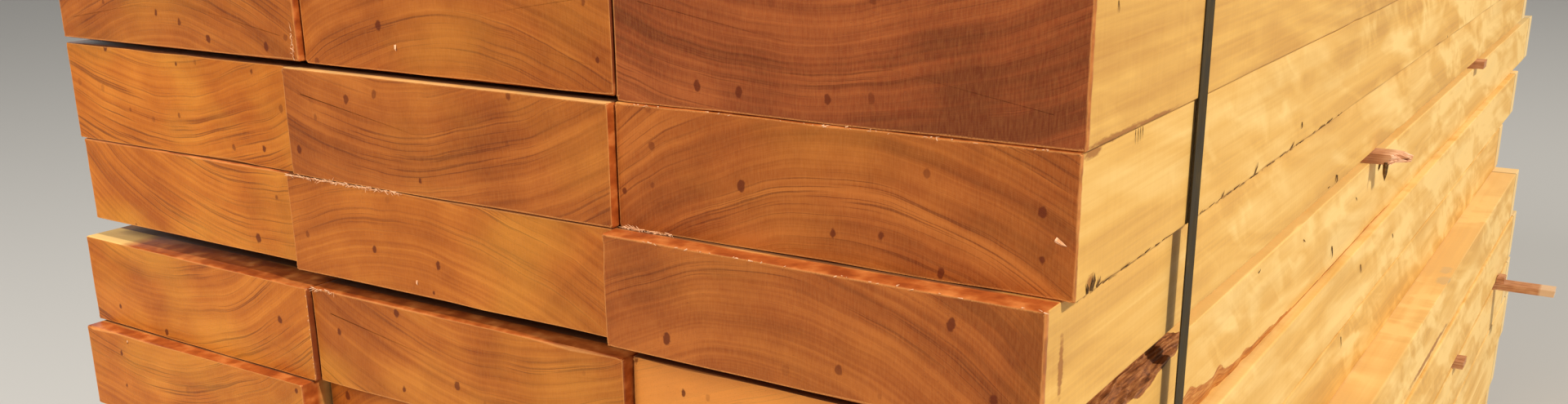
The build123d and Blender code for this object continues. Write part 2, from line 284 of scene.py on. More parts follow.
def saw_plank(name, material, rings_centre, tint, seed, wanes=()):
    """A board over the plan of its solid, with rounded arrises, chipped ends and its bark.

    A point close to a corner of the section moves onto a circle of that corner's wear. At the
    ends the section draws in by a ragged half millimetre. Where the bark is, points beyond the
    slanting cut from top to side move onto it, and then follow the torn relief of the bark.
    Each point carries what its finish needs: log, its place from the middle of the log; tint,
    the end's brightness, the side's paleness and the bark's freshness; mark, the bark, a number
    of its own for each board, and how far it lies under the board above; ends, its distances
    from both ends and from the edge of an end face.
    """
    spots = solid_points(name)
    low, high = spots.min(0), spots.max(0)
    on_left, on_right = spots[:, 0] < low[0] + SIDE_REACH, spots[:, 0] > high[0] - SIDE_REACH
    near = spots[on_left, 1].min(), spots[on_right, 1].min()
    far = spots[on_left, 1].max(), spots[on_right, 1].max()
    width, thick, length = high[0] - low[0], high[2] - low[2], high[1] - low[1]
    close = [np.arange(0, min(wane[1][-1], length), BARK_STEP) for wane in wanes]
    run = np.arange(RUN_MARGIN, length - RUN_MARGIN, RUN_STEP)
    places = np.unique(np.concatenate([END_STEPS, run, length - END_STEPS, *close]))
    x, z = outline(width, thick, WEAR, SECTION_STEPS, bool(wanes))
    along, x = np.meshgrid(places, x, indexing="ij")
    z = np.broadcast_to(z, x.shape).copy()
    right, top = x > width / 2, z > thick / 2
    corner = right * 2 + top
    worn = np.zeros(x.shape)
    for which in range(4):
        chips = np.clip(wander(places, 0.011, seed + which) - CHIP_RARITY, 0, 1) * CHIP_SIZE
        radius = ROUNDING + ROUNDING_DRIFT * wander(places, 0.06, seed + 9 + which) + chips
        worn = np.where(corner == which, radius[:, None], worn)
    across_in, up_in = np.where(right, width - x, x), np.where(top, thick - z, z)
    from_x, from_z = worn - across_in, worn - up_in
    reach_in = np.hypot(from_x, from_z)
    rounds = (from_x > 0) & (from_z > 0) & (reach_in > worn)
    shrink = np.where(rounds, worn / np.maximum(reach_in, 1e-9), 1)
    across_in, up_in = worn - from_x * shrink, worn - from_z * shrink
    bark, fresh = np.zeros(x.shape), np.zeros(x.shape)
    for above, reach, spread, across, down, freshness in wanes:
        share = np.interp(along, reach, spread) * (along <= reach[-1])
        ragged = 1 + 0.3 * relief(along / 0.017, along * 0, seed + 31)
        cut_x, cut_z = across * share * ragged + 1e-6, down * share * ragged + 1e-6
        over = 1 - across_in / cut_x - up_in / cut_z
        edge = right & (top == above)
        inside = (over > 0) & edge
        girth = (up_in - across_in) / 0.0022
        fibres = relief(along / 0.016 + 0.25 * girth, girth, seed + 41)
        fibres = fibres + 0.8 * relief(along / 0.045, girth * 0.45, seed + 43)
        lift = 0.0018 * (1 - 0.8 * freshness) * fibres * np.clip(over * 5, 0, 1) * (share > 0.15)
        across_in = np.where(inside, across_in + over * cut_x / 2 - lift, across_in).clip(0)
        up_in = np.where(inside, up_in + over * cut_z / 2 - lift, up_in).clip(0)
        here = np.clip(over * 6 + 0.15, 0, 1) * edge * (share > 0.03)
        bark, fresh = np.maximum(bark, here), np.where(here > 0, freshness, fresh)
    from_end = np.minimum(along, length - along)
    round_way = np.arange(x.shape[1]) * 0.9
    ragged = 0.0006 + 0.0005 * relief(round_way, along * 0, seed + 17)
    ragged = ragged + 0.006 * np.clip(relief(round_way * 0.45, along * 0, seed + 19) - 0.72, 0, 1)
    drawn = ragged * np.clip(1 - from_end / 0.0013, 0, 1) ** 1.5
    slim_x = 0.0002 * (1 + wander(places, 0.5, seed + 5))[:, None] + drawn
    slim_top = 0.00012 * (1 + wander(places, 0.35, seed + 6))[:, None] + drawn
    across_in, up_in = across_in + slim_x, up_in + np.where(top, slim_top, drawn)
    x = np.where(right, width - across_in, across_in)
    z = np.where(top, thick - up_in, up_in)
    y_near = near[0] + (near[1] - near[0]) * x / width
    y_far = far[0] + (far[1] - far[0]) * x / width
    y = y_near + (y_far - y_near) * along / length
    rings = np.stack([low[0] + x, y, low[2] + z], -1)
    half = np.array([width / 2, 1, thick / 2])
    ends = []
    for face in (rings[:1], rings[-1:]):
        middle = face.mean(1, keepdims=True)
        shares = [1 - np.array([inset, 0, inset]) / half for inset in END_INSETS]
        ends.append(np.concatenate([middle + (face - middle) * share for share in shares]))
    caps = len(END_INSETS)
    rings = np.concatenate([ends[0], rings, ends[1][::-1]])
    inset = np.zeros(rings.shape[:2])
    inset[:caps] = np.array(END_INSETS)[:, None]
    inset[len(rings) - caps:] = np.array(END_INSETS)[::-1, None]
    bark, fresh = np.pad(bark, ((caps, caps), (0, 0))), np.pad(fresh, ((caps, caps), (0, 0)))
    rng = np.random.default_rng(seed + 77)
    lean = rng.uniform(-0.012, 0.012, 2)
    log = rings * 1.0
    log[..., 0] -= low[0] + rings_centre[0] * width + lean[0] * (rings[..., 1] - NEAR_PLANE)
    log[..., 2] -= low[2] + rings_centre[1] * thick + lean[1] * (rings[..., 1] - NEAR_PLANE)
    tints = np.stack([np.full(bark.shape, tint[0]), np.full(bark.shape, tint[1]), fresh], -1)
    row, column = int(name[6:8]), name[9:]
    covered = np.full(bark.shape, -1.0)
    if row > 1:
        above = f"plank_{row - 1:02d}_{column}"
        covered = np.minimum(rings[..., 1] - end_face(above, rings[..., 0]),
                             end_face(above, rings[..., 0], np.max) - rings[..., 1])
        covered = covered - LIT_DEPTHS.get(name[6:], 0)
    marks = np.stack([bark, np.full(bark.shape, seed % 61), covered], -1)
    ends = np.stack([rings[..., 1] - near[0], far[0] - rings[..., 1], inset], -1)
    board = skin("board" + name[5:], rings, material,
                 {"log": log, "tint": tints, "mark": marks, "ends": ends}, caps)
    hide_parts(name)
    return board


class WoodLook(Look):
    """A node material with the steps that wood needs: arithmetic, noise, ramps and mixes."""

    def parts(self, vector):
        """The three numbers of a vector."""
        return self.wire("SeparateXYZ", {0: vector}).outputs

    def fact(self, name):
        """A point attribute as a vector."""
        return self.wire("Attribute", attribute_name=name).outputs["Vector"]

    def maths(self, what, a, b=0.0):
        """One arithmetic step on numbers or outputs."""
        return self.wire("Math", {0: a, 1: b}, operation=what).outputs[0]

    def vector(self, x, y, z):
        """A vector put together from three numbers or outputs."""
        return self.wire("CombineXYZ", {0: x, 1: y, 2: z}).outputs[0]

    def scaled(self, vector, *scale):
        """A vector with each of its parts multiplied."""
        return self.wire("VectorMath", {0: vector, 1: scale}, operation="MULTIPLY").outputs[0]

    def grain(self, vector, detail=2.0, rough=0.5, warp=0.0):
        """Smooth noise from 0 to 1 over a vector, about one unit from crest to crest."""
        return self.wire("TexNoise", {"Vector": vector, "Scale": 1.0, "Detail": detail,
                                      "Roughness": rough, "Distortion": warp}).outputs["Fac"]

    def swing(self, noise, size):
        """A noise brought from 0..1 to swing about zero."""
        return self.maths("MULTIPLY", self.maths("SUBTRACT", noise, 0.5), size)

    def total(self, first, *rest):
        """The sum of numbers or outputs."""
        for value in rest:
            first = self.maths("ADD", first, value)
        return first

    def product(self, first, *rest):
        """The product of numbers or outputs."""
        for value in rest:
            first = self.maths("MULTIPLY", first, value)
        return first

    def between(self, value, low, high, a=0.0, b=1.0):
        """A value brought from low..high to a..b and held there."""
        return self.wire("MapRange", {0: value, 1: low, 2: high, 3: a, 4: b}, clamp=True).outputs[0]

    def ramp(self, fac, stops):
        """A colour ramp over a factor, as (position, colour) stops."""
        made = self.wire("ValToRGB", {"Fac": fac})
        slots = made.color_ramp.elements
        while len(slots) < len(stops):
            slots.new(0.5)
        for slot, (place, colour) in zip(slots, stops):
            slot.position = place
            slot.color = (*colour, 1)
        return made.outputs["Color"]

    def mix(self, fac, a, b):
        """Two colours mixed by a factor."""
        colours = [value if isinstance(value, bpy.types.NodeSocket) else (*value, 1) for value in (a, b)]
        return self.wire("Mix", {0: fac, 6: colours[0], 7: colours[1]}, data_type="RGBA").outputs[2]

    def smear(self, place, centre, half, rough):
        """A patch with ragged borders: 1 inside an ellipsoid round its centre, 0 outside."""
        away = self.wire("VectorMath", {0: place, 1: centre}, operation="SUBTRACT").outputs[0]
        away = self.wire("VectorMath", {0: away, 1: half}, operation="DIVIDE").outputs[0]
        away = self.wire("VectorMath", {0: away}, operation="LENGTH").outputs["Value"]
        return self.between(self.maths("ADD", away, rough), 0.6, 1.0, 1.0, 0.0)


# Waxed ends: a dark and a bright board's tones, then ring lines, golden heartwood, the palest
# board, fuzz at the arrises with a painted highlight along them, and the drops that ran out of the pores
END_DEEP = ((0.30, (0.150, 0.032, 0.009)), (0.5, (0.245, 0.052, 0.014)), (0.70, (0.36, 0.088, 0.022)))
END_BRIGHT = ((0.30, (0.42, 0.098, 0.009)), (0.5, (0.57, 0.160, 0.016)), (0.70, (0.72, 0.24, 0.028)))
END_LINE = (0.13, 0.024, 0.006)
END_GOLD = (0.72, 0.33, 0.040)
END_PALE = (0.93, 0.37, 0.080)
END_FUZZ_AND_HIGHLIGHT = (0.76, 0.32, 0.09)
DROP_COLOUR = (0.12, 0.020, 0.005)
DROP_GRID = 34.0  # cells a metre, each with one drop at most
# Sawn sides: their tones, dirt and flecks, and the wax at both ends of a board
SIDE_TONES = ((0.25, (0.56, 0.27, 0.060)), (0.5, (0.79, 0.455, 0.118)), (0.75, (0.94, 0.64, 0.240)))
SIDE_DIRT = (0.38, 0.235, 0.095)
FLECK_COLOUR = (0.13, 0.062, 0.018)
WAX_LAP = ((0.35, (0.28, 0.054, 0.009)), (0.5, (0.41, 0.094, 0.016)), (0.68, (0.60, 0.190, 0.044)))
WAX_SHADE = (0.13, 0.026, 0.008)
FAR_LAP = (0.90, 0.67, 0.34)
FAR_LINE = (0.24, 0.13, 0.05)
# Painted shade between the boards and under the board above, painted light beside the upper gap, and the
# ledge's tan and grey
INNER_PAINTED_SHADE = (0.110, 0.044, 0.017)
COVERED_DARK = (0.150, 0.055, 0.022)
PAINTED_LIGHT_PALE = (0.93, 0.61, 0.21)
LEDGE_TAN = (0.84, 0.55, 0.23)
LEDGE_GREY = (0.34, 0.30, 0.22)
STAIN_COLOUR = (0.34, 0.125, 0.028)
BARK_OLD = ((0.3, (0.105, 0.034, 0.012)), (0.5, (0.30, 0.105, 0.032)), (0.72, (0.50, 0.215, 0.068)))
BARK_FRESH = ((0.3, (0.36, 0.105, 0.018)), (0.5, (0.56, 0.200, 0.038)), (0.72, (0.72, 0.36, 0.095)))
# Bands of the stack that a finish keeps to, each as the two values between which it fades:
# x inside the right-hand side, inside the left-hand side and on the right-hand faces, z below
# the top, z of the upper gap, and x and z of the ledge
INSIDE_RIGHT, INSIDE_LEFT, RIGHT_FACES = (0.345, 0.335), (-0.40, -0.385), (0.360, 0.365)
BELOW_TOP = (0.888, 0.884)
UPPER_GAP = ((0.640, 0.645), (0.673, 0.671))
LEDGE_X, LEDGE_Z = (0.378, 0.380), ((0.45, 0.452), (0.458, 0.456))
# A point on each seam between two columns that lies in shade, and how far round it the shade is
DARK_SEAMS = ((0.102, -0.95, 0.855), (-0.183, -0.96, 0.622))
SEAM_HALF = (0.012, 0.05, 0.05)
# Brown stains on the long side: centre, then half sizes. The first three follow the seam below
# row 1, the others lie on rows 2, 3 and 7.
STAINS = (((0.382, -0.905, 0.8150), (0.006, 0.046, 0.0030)),
          ((0.382, -0.850, 0.8150), (0.006, 0.040, 0.0018)),
          ((0.380, -0.938, 0.8120), (0.006, 0.014, 0.0035)),
          ((0.380, -0.929, 0.7440), (0.006, 0.007, 0.0060)),
          ((0.373, -0.9460, 0.7030), (0.006, 0.004, 0.0190)),
          ((0.417, 0.095, 0.3890), (0.006, 0.150, 0.0048)))
LEDGE_SPOTS = (((0.412, 0.190, 0.454), (0.010, 0.022, 0.004)),
               ((0.406, 0.236, 0.454), (0.007, 0.020, 0.004)))

w = WoodLook("sawn_hardwood")
log = w.fact("log")
lx, ly, lz = w.parts(log)
bright, pale, fresh = w.parts(w.fact("tint"))
bark, seed, covered = w.parts(w.fact("mark"))
near, far, inset = w.parts(w.fact("ends"))
texture = w.wire("TexCoord").outputs
place = texture["Object"]
px, py, pz = w.parts(place)
facing = w.parts(texture["Normal"])
on_end = w.between(w.maths("ABSOLUTE", facing[1]), 0.45, 0.75)
upright = w.between(w.maths("ABSOLUTE", facing[0]), 0.5, 0.7)
facing_up = w.between(facing[2], 0.5, 0.7)
# growth rings: distance from the middle of the log, wandering a little
flat = w.wire("VectorMath", {0: w.scaled(log, 1, 0, 1)}, operation="LENGTH").outputs["Value"]
radius = w.total(flat, w.swing(w.grain(w.scaled(log, 9, 0.7, 9)), 0.018),
                 w.swing(w.grain(w.scaled(log, 60, 2, 60), 1.0), 0.0013))
mottled = w.grain(w.scaled(log, 26, 26, 26), 3.0, 0.6)
broad = w.grain(w.vector(w.product(radius, 44.0), seed, w.product(lx, 2.5)), 1.0)
middle = w.grain(w.vector(w.product(radius, 290.0), seed, w.product(lx, 4.0)), 1.0)
fine = w.grain(w.vector(w.product(radius, 520.0), seed, w.product(lx, 7.0)), 2.0, 0.7)
cluster = w.between(w.grain(w.vector(w.product(radius, 36.0), w.product(lz, 9.0), seed), 1.0), 0.43, 0.58)
patches = w.grain(w.scaled(log, 14, 14, 14))
bands = w.product(w.swing(broad, 1.0), w.between(bright, 0.0, 0.5, 1.0, 0.55))
end_tone = w.total(0.5, bands, w.swing(middle, 0.48), w.swing(fine, 0.24),
                   w.swing(patches, 0.60), w.swing(mottled, 0.35))
end_colour = w.mix(bright, w.ramp(end_tone, END_DEEP), w.ramp(end_tone, END_BRIGHT))
lines = w.product(w.between(fine, 0.53, 0.61), cluster, 0.70)
end_colour = w.mix(lines, end_colour, END_LINE)
heartwood = w.grain(w.scaled(log, 8, 8, 13), 3.0)
gold = w.product(w.between(heartwood, 0.50, 0.70), w.between(bright, 0.1, 0.8), 0.40)
end_colour = w.mix(gold, end_colour, END_GOLD)
end_colour = w.mix(w.between(bright, 0.94, 1.0, 0.0, 0.55), end_colour, END_PALE)
# saw fuzz, pores, dark drops, and the pale fringe along the arrises: partly pale fuzz, partly a painted
# highlight
brushed = w.grain(w.vector(w.product(lx, 1000.0), 0.0, w.product(lz, 140.0)))
pores = w.between(w.grain(w.scaled(log, 1500, 1500, 1500), 1.0), 0.62, 0.72)
end_colour = w.mix(w.product(pores, 0.28), end_colour, END_LINE)
end_colour = w.mix(w.between(brushed, 0.35, 0.7, 0.0, 0.10), end_colour, END_FUZZ_AND_HIGHLIGHT)
over_end = w.vector(w.maths("ADD", lx, seed), w.product(lz, 0.72), 0.0)
cells = w.wire("TexVoronoi", {"Vector": over_end, "Scale": DROP_GRID}, voronoi_dimensions="2D").outputs
few = w.between(w.parts(cells["Color"])[0], 0.50, 0.78, 0.0, 0.85)
size_of = w.between(w.parts(cells["Color"])[1], 0.0, 1.0, -0.075, -0.030)
uneven_drop = w.swing(w.grain(w.scaled(log, 260, 260, 260)), 0.10)
drops = w.product(w.between(w.total(cells["Distance"], size_of, uneven_drop), 0.0, 0.025, 1.0, 0.0), few)
end_colour = w.mix(drops, end_colour, DROP_COLOUR)
# painted highlight: a pale line round the rim of each end face, partly pale torn fuzz
fuzz_and_edge_highlight = w.between(w.total(inset, w.swing(brushed, 0.0016)), 0.0, 0.0009, 0.6, 0.0)
end_colour = w.mix(fuzz_and_edge_highlight, end_colour, END_FUZZ_AND_HIGHLIGHT)
# long sides: fine fibres, long streaks, pale wavy figure, dirt and dark flecks
fibre = w.grain(w.scaled(log, 420, 7, 420), 3.0, 0.6)
streak = w.grain(w.scaled(log, 42, 1.2, 42), 3.0)
figure = w.grain(w.vector(w.product(lx, 14.0), w.total(w.product(ly, 7.0), w.product(lz, 16.0)),
                          w.product(lz, 22.0)), 2.5, 0.5, 0.8)
flame = w.grain(w.vector(w.product(lx, 10.0), w.total(w.product(ly, 24.0), w.product(lz, 30.0)),
                         w.product(lz, 24.0)), 2.0, 0.5, 0.9)
flame_here = w.between(w.grain(w.scaled(log, 5, 4, 9)), 0.45, 0.62)
kerf = w.grain(w.vector(0.0, w.product(ly, 260.0), w.product(lz, 16.0)), 1.0)
along_side = w.between(py, -0.95, 0.9, 0.41, 0.46)
figured = w.between(py, -0.85, -0.15, 0.10, 0.25)
below_top = w.between(pz, *BELOW_TOP)
on_top = w.between(pz, 0.884, 0.888, 1.0, 0.30)
flames = w.product(w.between(flame, 0.44, 0.66), flame_here)
waves = w.product(w.total(w.between(figure, 0.42, 0.66), flames), figured, on_top)
side_tone = w.total(along_side, pale, waves, w.swing(fibre, 0.22), w.swing(streak, 0.60), w.swing(kerf, 0.06))
side_colour = w.ramp(side_tone, SIDE_TONES)
dirty = w.between(w.grain(w.scaled(place, 9, 3, 17), 3.0), 0.52, 0.78, 0.0, 0.18)
side_colour = w.mix(dirty, side_colour, SIDE_DIRT)
slanting = w.total(w.product(ly, 24.0), w.product(lz, 9.0))
drawn_out = w.vector(w.product(lx, 4.0), slanting, w.product(lz, 14.0))
flecks = w.wire("TexVoronoi", {"Vector": drawn_out, "Scale": 1.0}).outputs
rare = w.maths("GREATER_THAN", w.parts(flecks["Color"])[1], 0.93)
flecked = w.product(w.between(flecks["Distance"], 0.045, 0.07, 0.85, 0.0), rare)
side_colour = w.mix(flecked, side_colour, FLECK_COLOUR)
# brown stains at the seams and grey spots on the ledge
ragged = w.swing(w.grain(w.scaled(place, 90, 60, 240), 3.0, 0.65), 1.5)
stained = 0.0
for centre, half in STAINS:
    stained = w.maths("MAXIMUM", stained, w.smear(place, centre, half, ragged))
side_colour = w.mix(w.product(stained, 0.85), side_colour, STAIN_COLOUR)
greyed = 0.0
for centre, half in LEDGE_SPOTS:
    greyed = w.maths("MAXIMUM", greyed, w.smear(place, centre, half, ragged))
side_colour = w.mix(w.product(greyed, 0.5), side_colour, LEDGE_GREY)
# faces between the boards: darkened with painted shade away from their ends, but made pale with painted
# light beside the upper gap, and tan on the ledge where the figure is weak
# painted shade: faces hidden between the boards are coloured dark where little light would reach
away_from_ends = w.between(w.maths("MINIMUM", near, far), 0.012, 0.030)
hidden = w.maths("MAXIMUM", w.between(covered, 0.0, 0.01), upright)
painted_shade_between_boards = w.product(w.between(px, *INSIDE_RIGHT), w.between(px, *INSIDE_LEFT), below_top,
                  away_from_ends, hidden, 0.85)
side_colour = w.mix(painted_shade_between_boards, side_colour, INNER_PAINTED_SHADE)
ledge = w.product(w.between(px, *LEDGE_X), facing_up, w.between(pz, *LEDGE_Z[0]), w.between(pz, *LEDGE_Z[1]))
tanned = w.product(ledge, w.between(waves, 0.0, 0.3, 0.5, 0.15))
side_colour = w.mix(tanned, side_colour, LEDGE_TAN)
# painted light: faces beside the upper gap are coloured pale, as if lit inside it
painted_light_beside_gap = w.product(w.between(w.maths("ABSOLUTE", facing[2]), 0.5, 0.7), w.between(px, 0.335, 0.345),
                       w.between(pz, 0.64, 0.65), w.between(pz, 0.672, 0.671))
side_colour = w.mix(w.product(painted_light_beside_gap, 0.6), side_colour, PAINTED_LIGHT_PALE)
# wax lapped over the faces at the near ends, except on the outer right-hand side: further below
# the upper gap, and hardly on the bare corner of row 4 and the bare top of row 2
outer = w.product(w.between(px, *RIGHT_FACES), w.between(facing[0], 0.5, 0.7))
in_gap = w.product(w.between(pz, *UPPER_GAP[0]), w.between(pz, *UPPER_GAP[1]), 0.016)
lap = w.between(w.maths("SUBTRACT", w.total(near, w.swing(patches, 0.014)), in_gap), 0.012, 0.020, 1.0, 0.0)
thin_lap = w.between(w.total(near, w.swing(brushed, 0.003)), 0.0008, 0.0020, 0.8, 0.0)
bare_sunlit_corner = w.product(w.between(px, -0.392, -0.408), w.between(pz, 0.62, 0.63), w.between(pz, 0.70, 0.69))
bare_top = w.product(w.between(px, -0.199, -0.198), w.between(px, 0.110, 0.100), w.between(pz, 0.805, 0.808),
                     facing_up, w.between(pz, 0.820, 0.818))
# painted light: the bare, unwaxed corner of row 4 is coloured pale as if sunlit
side_colour = w.mix(w.product(bare_sunlit_corner, facing_up, 0.8), side_colour, PAINTED_LIGHT_PALE)
bare = w.between(w.maths("MAXIMUM", bare_sunlit_corner, w.product(bare_top, 0.55)), 0.0, 1.0, 1.0, 0.1)
lapped = w.product(w.wire("Mix", {0: outer, 2: lap, 3: thin_lap}).outputs[0], bare)
wax = w.ramp(w.grain(w.scaled(place, 70, 70, 110), 3.0), WAX_LAP)
for centre in DARK_SEAMS:
    seam = w.product(w.smear(place, centre, SEAM_HALF, 0.0), upright)
    wax = w.mix(w.product(seam, 0.8), wax, WAX_SHADE)
side_colour = w.mix(lapped, side_colour, wax)
# the shade under the board above, and at the far ends a pale lap with a dark border
under = w.product(w.between(covered, -0.0015, -0.0002), w.between(w.maths("ABSOLUTE", facing[2]), 0.3, 0.6),
                  w.between(px, *INSIDE_RIGHT))
side_colour = w.mix(w.product(under, 0.95), side_colour, COVERED_DARK)
uneven_far = w.total(far, w.swing(patches, 0.012))
side_colour = w.mix(w.between(uneven_far, 0.036, 0.039, 0.75, 0.0), side_colour, FAR_LAP)
border = w.product(w.between(uneven_far, 0.036, 0.038), w.between(uneven_far, 0.040, 0.043, 1.0, 0.0))
side_colour = w.mix(w.product(border, 0.65), side_colour, FAR_LINE)
colour = w.mix(on_end, side_colour, end_colour)
# bark left on the log's edge
strands = w.grain(w.scaled(log, 500, 45, 500), 3.0, 0.65, 0.4)
barked = w.between(w.total(bark, w.swing(strands, 0.9)), 0.3, 0.5)
colour = w.mix(barked, colour, w.mix(fresh, w.ramp(strands, BARK_OLD), w.ramp(strands, BARK_FRESH)))
# the surface: waxed ends a little smoother than the sawn sides
side_rough, end_rough = w.total(0.62, w.swing(fibre, 0.3)), w.total(0.50, w.swing(fine, 0.3))
rough = w.wire("Mix", {0: on_end, 2: side_rough, 3: end_rough}).outputs[0]
rough = w.wire("Mix", {0: w.product(lapped, 0.8), 2: rough, 3: 0.30}).outputs[0]
side_heights = w.total(w.product(fibre, 0.7), w.product(kerf, 0.8))
end_heights = w.total(brushed, w.product(pores, -0.6), w.product(w.between(fine, 0.5, 0.7), -0.4))
heights = w.wire("Mix", {0: on_end, 2: side_heights, 3: end_heights}).outputs[0]
uneven = w.wire("Bump", {"Strength": 0.35, "Distance": 0.0005, "Height": heights}).outputs[0]
shine = w.wire("Mix", {0: on_end, 2: 0.25, 3: 0.10}).outputs[0]
hardwood = w.finish(Base_Color=colour, Roughness=rough, Specular_IOR_Level=shine, Normal=uneven)

# For each board: where its rings are centred, as a share of its width and thicknesses above
# its underside, then how bright its end is and how pale its side.
LOGS = {
    "01_right": (0.42, 6.0, 0.02, -0.06), "01_middle": (0.52, -3.1, 0.42, 0.0),
    "01_left": (0.46, -2.9, 0.45, 0.0), "02_right": (0.54, -2.3, 0.30, 0.0),
    "02_middle": (0.35, 5.6, 0.40, 0.25), "02_left": (0.43, 5.3, 0.92, 0.0),
    "03_right": (0.40, -2.2, 0.26, 0.0), "03_middle": (0.39, -4.0, 0.63, 0.0),
    "03_left": (0.85, 4.5, 0.90, 0.0), "04_right": (0.9, -6.0, 1.0, 0.05),
    "04_middle": (0.62, 4.3, 0.58, 0.0), "04_left": (0.35, 3.8, 0.82, 0.0),
    "05_right": (0.3, 4.5, 0.4, 0.08), "05_middle": (0.6, -3.0, 0.8, 0.0),
    "05_left": (0.30, 5.2, 0.86, 0.0),
}
# Bark left on one board, at its upper and at its lower outer edge: whether it is the upper one,
# distances from the near end, the share of the full width there, the full width across and
# down the side, and how fresh the bark is.
WANES = {"04_right": (
    (True, (0.0, 0.130, 0.180, 0.194, 0.215), (0.85, 1.0, 1.1, 0.8, 0.08), 0.022, 0.0145, 0.0),
    (False, (0.0, 0.27, 0.37, 0.45, 0.52, 0.66, 0.80, 0.95), (0.9, 1.0, 0.42, 0.28, 0.10, 0.09, 0.15, 0.04),
     0.004, 0.021, 1.0))}
# Boards that aren't on the seen part of the near end draw theirs
draw = np.random.default_rng(12)
for count, name in enumerate(sorted(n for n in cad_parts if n.startswith("plank_"))):
    key = name[6:]
    spare = (draw.uniform(0.1, 0.9), draw.choice([-3.5, 4.5]) * draw.uniform(0.8, 1.4),
             draw.uniform(0.2, 0.9), draw.uniform(0.0, 0.08))
    across, up, shade, lightness = LOGS.get(key, spare)
    board = saw_plank(name, hardwood, (across, up), (shade, lightness), 100 + 37 * count, WANES.get(key, ()))


# Torn fibres and splinters: pale fuzz that the saw tore along the arrises of the near ends, a
# few chips of it on the ends, and dark slivers of bark and dirt caught along the long side.
BOX_MARGIN = 0.0001  # a fibre stops this far inside the box of the solids


def slivers(name, roots, tips, widths, out, material):
    """Thin spikes from roots to tips, all in one mesh.

    Each has a triangle at its root, flat on the surface that out points away from, a smaller
    triangle six tenths of the way along, lifted a little, and one point at its tip. None of
    them reaches past the nearest end of the stack.
    """
    roots, tips = np.asarray(roots, float), np.asarray(tips, float)
    out = np.broadcast_to(np.array(out, float), roots.shape)
    axis = tips - roots
    side = np.cross(axis, out)
    side = side / np.linalg.norm(side, axis=1, keepdims=True)
    wide = np.asarray(widths, float)[:, None]
    middle = roots + 0.6 * axis + 0.4 * out * wide
    triangles = [np.stack([at - side * reach, at + side * reach, at + 0.8 * out * reach], 1)
                 for at, reach in ((roots, wide), (middle, 0.7 * wide))]
    points = np.concatenate([*triangles, tips[:, None]], 1)
    points[..., 1] = np.maximum(points[..., 1], cad_box[0][1] + BOX_MARGIN)
    start = np.arange(len(roots))[:, None, None] * 7
    three = start + np.array([(0, 1, 2), (4, 3, 6), (5, 4, 6), (3, 5, 6)])
    four = start + np.array([(1, 0, 3, 4), (2, 1, 4, 5), (0, 2, 5, 3)])
    mesh = bpy.data.meshes.new(name)
    mesh.from_pydata(points.reshape(-1, 3).tolist(), [],
                     three.reshape(-1, 3).tolist() + four.reshape(-1, 4).tolist())
    mesh.materials.append(material)
    piece = bpy.data.objects.new(name, mesh)
    bpy.context.scene.collection.objects.link(piece)
    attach(piece, "root")
    return piece


FUZZ_WIDTH = 0.00028
ROOT_DEPTH = 0.0001  # inside the end face
# Plank, start and end of the torn stretch as x and z, number of fibres and their length
TORN_EDGES = (("plank_03_middle", (-0.197, 0.7384), (-0.084, 0.7384), 230, 0.0034),
              ("plank_02_right", (0.100, 0.7394), (0.136, 0.7394), 80, 0.0034),
              ("plank_02_right", (0.100, 0.8133), (0.378, 0.8133), 34, 0.0018),
              ("plank_03_right", (0.104, 0.7384), (0.372, 0.7384), 30, 0.0020),
              ("plank_01_left", (-0.1765, 0.8400), (-0.1765, 0.8195), 22, 0.0040),
              ("plank_04_left", (-0.1838, 0.6550), (-0.1838, 0.5900), 26, 0.0018),
              ("plank_04_middle", (-0.1805, 0.6583), (-0.1560, 0.6583), 26, 0.0045))
# Plank, x and z of a chip on its near end, how far it runs across and down, and its half width
CHIPS = (("plank_01_middle", -0.0820, 0.8350, 0.0012, -0.0040, 0.0011),
         ("plank_03_middle", -0.0759, 0.6800, 0.0010, -0.0032, 0.0009),
         ("plank_02_right", 0.3690, 0.7700, 0.0062, -0.0026, 0.0014),
         ("plank_05_left", -0.3950, 0.5840, 0.0008, -0.0026, 0.0008))
rng = np.random.default_rng(5)
roots, tips, widths = [], [], []
for name, start, end, count, length in TORN_EDGES:
    share = rng.uniform(0, 1, count)
    x = start[0] + (end[0] - start[0]) * share
    z = start[1] + (end[1] - start[1]) * share
    run = np.array([end[0] - start[0], 0, end[1] - start[1]])
    run = run / np.linalg.norm(run)
    root = np.stack([x, end_face(name, x) + ROOT_DEPTH, z + rng.uniform(-0.0004, 0.0004, count)], 1)
    stray = rng.normal(0, 0.35, (count, 3)) - (0, 0.25, 0)
    reach = length * rng.uniform(0.4, 1.2, (count, 1))
    roots.append(root)
    tips.append(root + (run * rng.choice([-1, 1], (count, 1)) + stray) * reach)
    widths.append(FUZZ_WIDTH * rng.uniform(0.7, 1.6, count))
for name, x, z, across, down, half in CHIPS:
    root = np.array([[x, end_face(name, x) + ROOT_DEPTH, z]])
    roots.append(root)
    tips.append(root + (across, -0.0006, down))
    widths.append(np.array([half]))
fuzz_look = WoodLook("torn_fibre")
place = fuzz_look.wire("TexCoord").outputs["Object"]
tone = fuzz_look.grain(fuzz_look.scaled(place, 300, 300, 300))
fuzz_colour = fuzz_look.ramp(tone, ((0.35, (0.62, 0.28, 0.12)), (0.6, (0.84, 0.50, 0.29))))
torn_fibre = fuzz_look.finish(Base_Color=fuzz_colour, Roughness=0.8, Specular_IOR_Level=0.2)
roots, tips = np.concatenate(roots), np.concatenate(tips)
slivers("torn_fibres", roots, tips, np.concatenate(widths), (0, -1, 0), torn_fibre)

